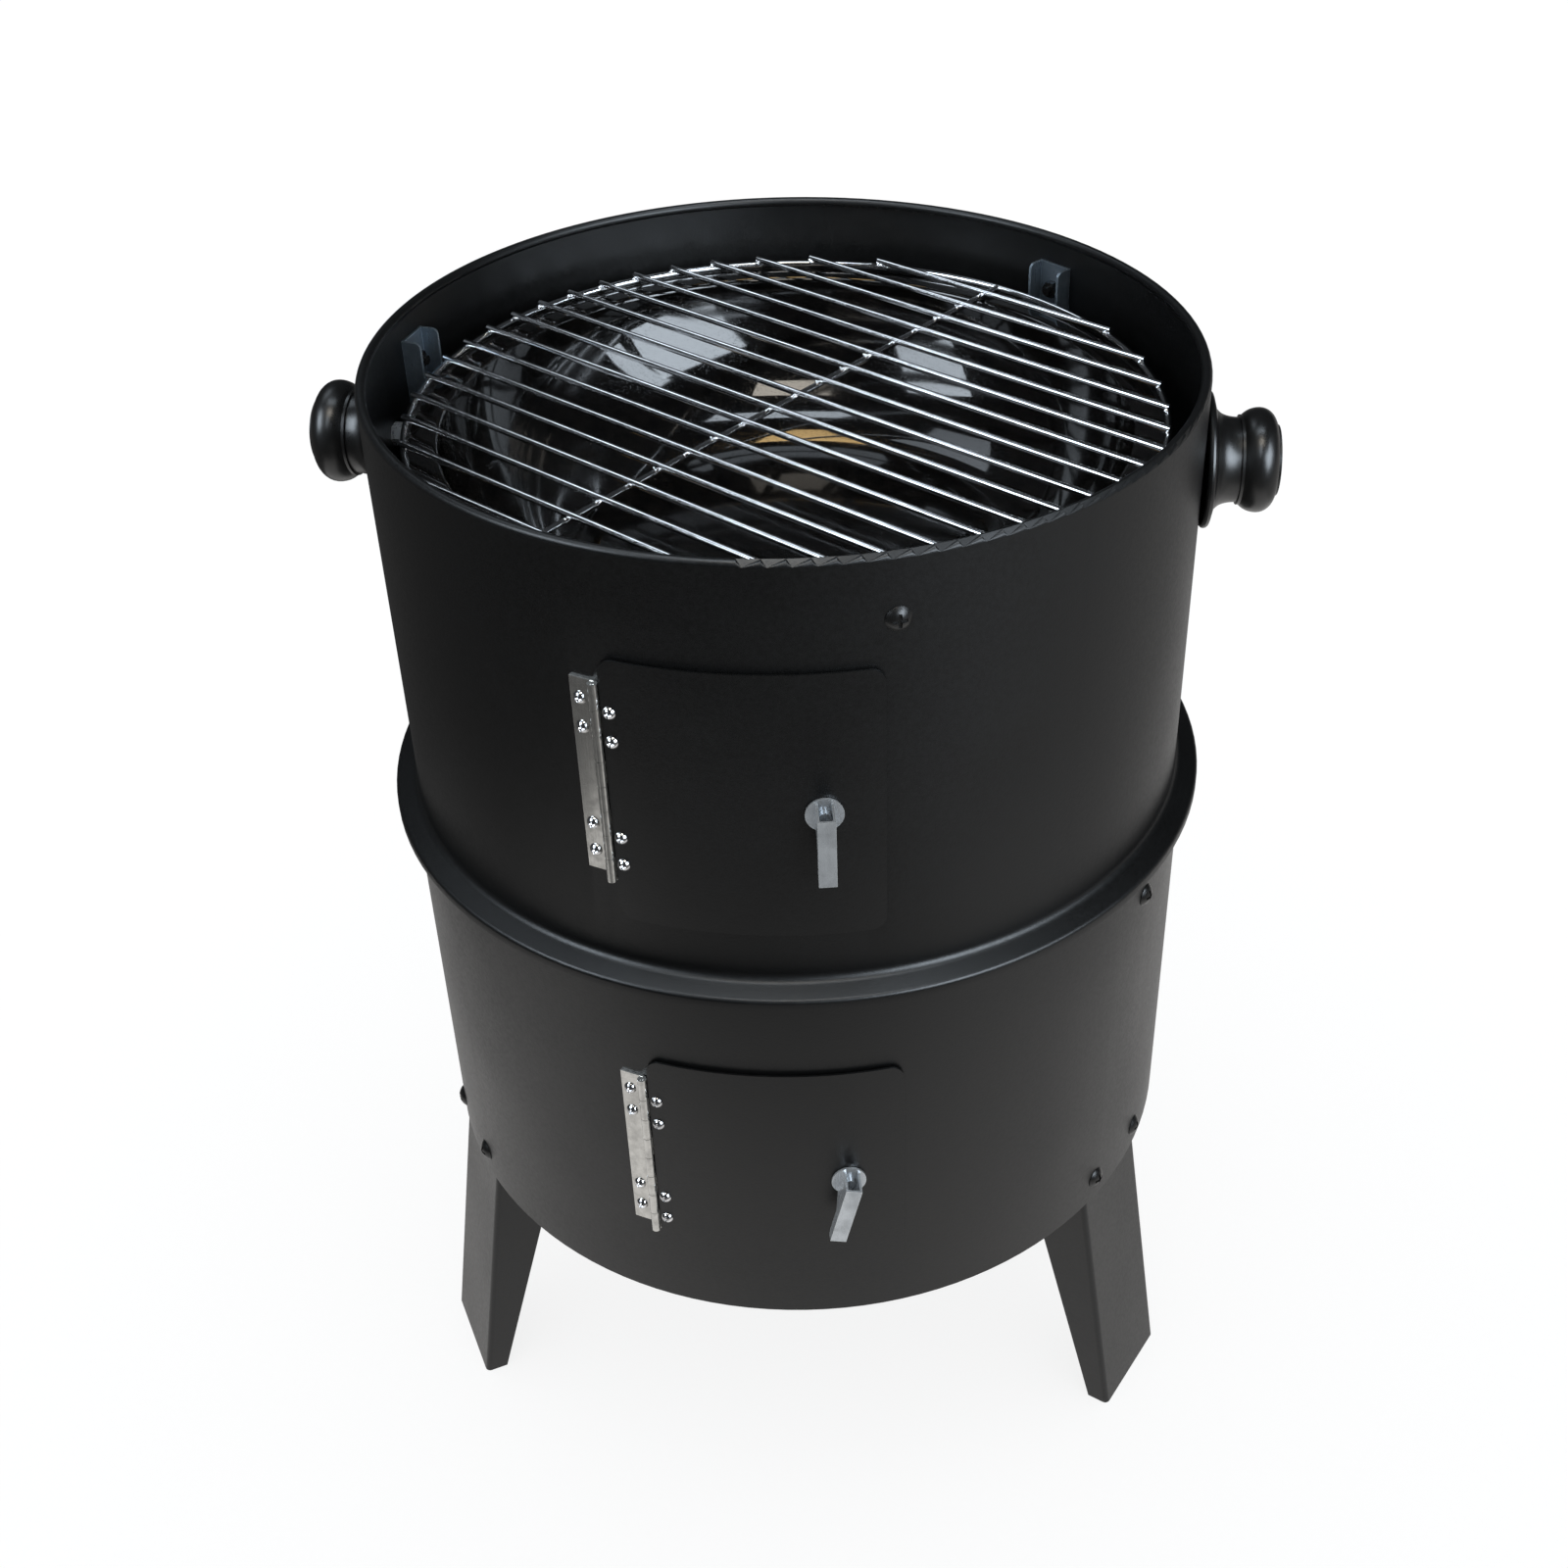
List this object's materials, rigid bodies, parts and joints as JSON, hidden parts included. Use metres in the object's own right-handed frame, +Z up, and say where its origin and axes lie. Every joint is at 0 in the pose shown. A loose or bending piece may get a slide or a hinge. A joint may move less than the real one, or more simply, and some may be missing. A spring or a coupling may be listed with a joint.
{
  "type": "vertical water smoker",
  "caption": "Vertical charcoal water smoker without lid: two stacked black barrels on splayed legs, hinged doors with turn latches, lift-out bowls and wire grates, side knobs.",
  "frame": {"origin": "on the ground, on the barrels' common axis", "axes": "+Z up along the barrels' axis, the doors face -Y, +X is to the right when facing the doors"},
  "size_m": [0.4738, 0.4431, 0.6025],
  "materials": {
    "barrel_paint": "satin black powder coat",
    "leg_paint": "satin grey-black powder coat",
    "zinc": "bluish zinc plate",
    "nickel": "bright nickel-plated strip",
    "chrome": "bright chrome plate",
    "enamel": "glossy black vitreous enamel",
    "black_bolt": "blackened steel",
    "phenolic": "semi-gloss black phenolic"
  },
  "bodies": {
    "base": {"lower_barrel": "barrel_paint", "leg_front_left": "leg_paint", "leg_front_right": "leg_paint", "leg_rear": "leg_paint", "leg_bolts": "black_bolt", "leg_nuts": "black_bolt", "lower_bracket_left": "zinc", "lower_bracket_right": "zinc", "lower_bracket_rear": "zinc", "lower_bracket_bolts": "black_bolt", "lower_bracket_nuts": "black_bolt", "lower_hinge_barrel_leaf": "nickel", "lower_hinge_pin": "nickel", "lower_hinge_barrel_screws": "chrome", "lower_hinge_barrel_nuts": "zinc"},
    "upper_barrel": {"upper_barrel": "barrel_paint", "left_knob": "phenolic", "right_knob": "phenolic", "left_knob_cap": "phenolic", "right_knob_cap": "phenolic", "knob_screws": "zinc", "knob_nuts": "zinc", "upper_bracket_front": "zinc", "upper_bracket_left": "zinc", "upper_bracket_rear": "zinc", "upper_bracket_bolts": "black_bolt", "upper_bracket_nuts": "black_bolt", "upper_hinge_barrel_leaf": "nickel", "upper_hinge_pin": "nickel", "upper_hinge_barrel_screws": "chrome", "upper_hinge_barrel_nuts": "zinc"},
    "lower_door": {"lower_door": "barrel_paint", "lower_hinge_door_leaf": "nickel", "lower_hinge_door_screws": "chrome", "lower_hinge_door_nuts": "zinc"},
    "lower_latch": {"lower_latch_lever": "zinc", "lower_latch_disc": "zinc", "lower_latch_spindle": "zinc", "lower_latch_tongue": "zinc", "lower_latch_nut": "zinc"},
    "upper_door": {"upper_door": "barrel_paint", "upper_hinge_door_leaf": "nickel", "upper_hinge_door_screws": "chrome", "upper_hinge_door_nuts": "zinc"},
    "upper_latch": {"upper_latch_lever": "zinc", "upper_latch_disc": "zinc", "upper_latch_spindle": "zinc", "upper_latch_tongue": "zinc", "upper_latch_nut": "zinc"},
    "charcoal_bowl": {"charcoal_bowl": "enamel"},
    "charcoal_grate": {"charcoal_grate": "chrome"},
    "lower_cooking_grate": {"lower_cooking_grate": "chrome"},
    "water_bowl": {"water_bowl": "enamel"},
    "cooking_grate": {"cooking_grate": "chrome"}
  },
  "joints": [
    {"name": "upper_barrel_lift", "type": "slide", "parent": "base", "child": "upper_barrel", "axis": [0, 0, 1], "range_m": [0, 0.12]},
    {"name": "water_bowl_lift", "type": "slide", "parent": "upper_barrel", "child": "water_bowl", "axis": [0, 0, 1], "range_m": [0, 0.12]},
    {"name": "cooking_grate_lift", "type": "slide", "parent": "water_bowl", "child": "cooking_grate", "axis": [0, 0, 1], "range_m": [0, 0.12]},
    {"name": "charcoal_bowl_lift", "type": "slide", "parent": "base", "child": "charcoal_bowl", "axis": [0, 0, 1], "range_m": [0, 0.05]},
    {"name": "charcoal_grate_lift", "type": "slide", "parent": "charcoal_bowl", "child": "charcoal_grate", "axis": [0, 0, 1], "range_m": [0, 0.03]},
    {"name": "lower_cooking_grate_lift", "type": "slide", "parent": "charcoal_bowl", "child": "lower_cooking_grate", "axis": [0, 0, 1], "range_m": [0, 0.05]},
    {"name": "upper_door_hinge", "type": "hinge", "parent": "upper_barrel", "child": "upper_door", "pos_m": [-0.06373, -0.19216, 0.4813], "axis": [0, 0, -1], "range_deg": [0, 135]},
    {"name": "upper_latch_turn", "type": "hinge", "parent": "upper_door", "child": "upper_latch", "pos_m": [0.03302, -0.19948, 0.4798], "axis": [0.1633, -0.9866, 0], "range_deg": [0, 90]},
    {"name": "lower_door_hinge", "type": "hinge", "parent": "base", "child": "lower_door", "pos_m": [-0.05812, -0.1981, 0.2585], "axis": [0, 0, -1], "range_deg": [0, 135]},
    {"name": "lower_latch_turn", "type": "hinge", "parent": "lower_door", "child": "lower_latch", "pos_m": [0.04076, -0.20213, 0.257], "axis": [0.1977, -0.9803, 0], "range_deg": [0, 104]}
  ]
}
